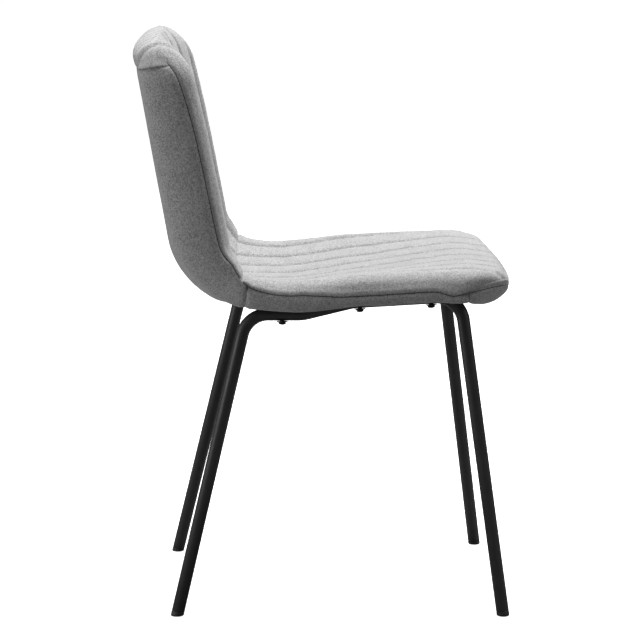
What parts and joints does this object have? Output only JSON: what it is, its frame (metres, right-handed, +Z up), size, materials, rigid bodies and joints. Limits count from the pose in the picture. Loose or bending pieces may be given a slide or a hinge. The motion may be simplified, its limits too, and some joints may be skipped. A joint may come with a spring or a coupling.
{
  "type": "dining chair",
  "caption": "Upholstered side chair with a one-piece padded seat and back on two bent black tube leg frames.",
  "frame": {"origin": "centre of the chair's bounding box, at floor level", "axes": "+Z up, the chair faces -Y, +X is the sitter's left side"},
  "size_m": [0.444, 0.5265, 0.797],
  "materials": {
    "upholstery_fabric": "heather grey woven wool fabric, matt, fine two-tone weave",
    "under_cover_cloth": "black non-woven cloth, matt",
    "foam": "cut polyurethane foam, matt (hidden)",
    "birch_plywood": "raw moulded birch plywood (hidden)",
    "leg_powder_coat": "matt black powder coat, fine texture",
    "foot_plastic": "black moulded plastic, matt",
    "bolt_black_steel": "black oxide steel, satin",
    "zinc_plate": "zinc plated steel, satin (hidden)"
  },
  "bodies": {
    "root": {"left_leg_frame": "leg_powder_coat", "right_leg_frame": "leg_powder_coat", "front_left_foot_plug": "foot_plastic", "front_right_foot_plug": "foot_plastic", "rear_left_foot_plug": "foot_plastic", "rear_right_foot_plug": "foot_plastic", "bolt_left_1": "bolt_black_steel", "flat_washer_left_1": "bolt_black_steel", "lock_washer_left_1": "bolt_black_steel", "tee_nut_left_1": "zinc_plate", "bolt_left_2": "bolt_black_steel", "flat_washer_left_2": "bolt_black_steel", "lock_washer_left_2": "bolt_black_steel", "tee_nut_left_2": "zinc_plate", "bolt_left_3": "bolt_black_steel", "flat_washer_left_3": "bolt_black_steel", "lock_washer_left_3": "bolt_black_steel", "tee_nut_left_3": "zinc_plate", "bolt_right_1": "bolt_black_steel", "flat_washer_right_1": "bolt_black_steel", "lock_washer_right_1": "bolt_black_steel", "tee_nut_right_1": "zinc_plate", "bolt_right_2": "bolt_black_steel", "flat_washer_right_2": "bolt_black_steel", "lock_washer_right_2": "bolt_black_steel", "tee_nut_right_2": "zinc_plate", "bolt_right_3": "bolt_black_steel", "flat_washer_right_3": "bolt_black_steel", "lock_washer_right_3": "bolt_black_steel", "tee_nut_right_3": "zinc_plate", "plywood_shell": "birch_plywood", "seat_foam": "foam", "back_foam": "foam", "seat_panel": "upholstery_fabric", "inside_back_panel": "upholstery_fabric", "front_band": "upholstery_fabric", "left_seat_band": "upholstery_fabric", "right_seat_band": "upholstery_fabric", "left_back_band": "upholstery_fabric", "right_back_band": "upholstery_fabric", "outside_back_panel": "upholstery_fabric", "under_cover": "under_cover_cloth"}
  },
  "joints": []
}
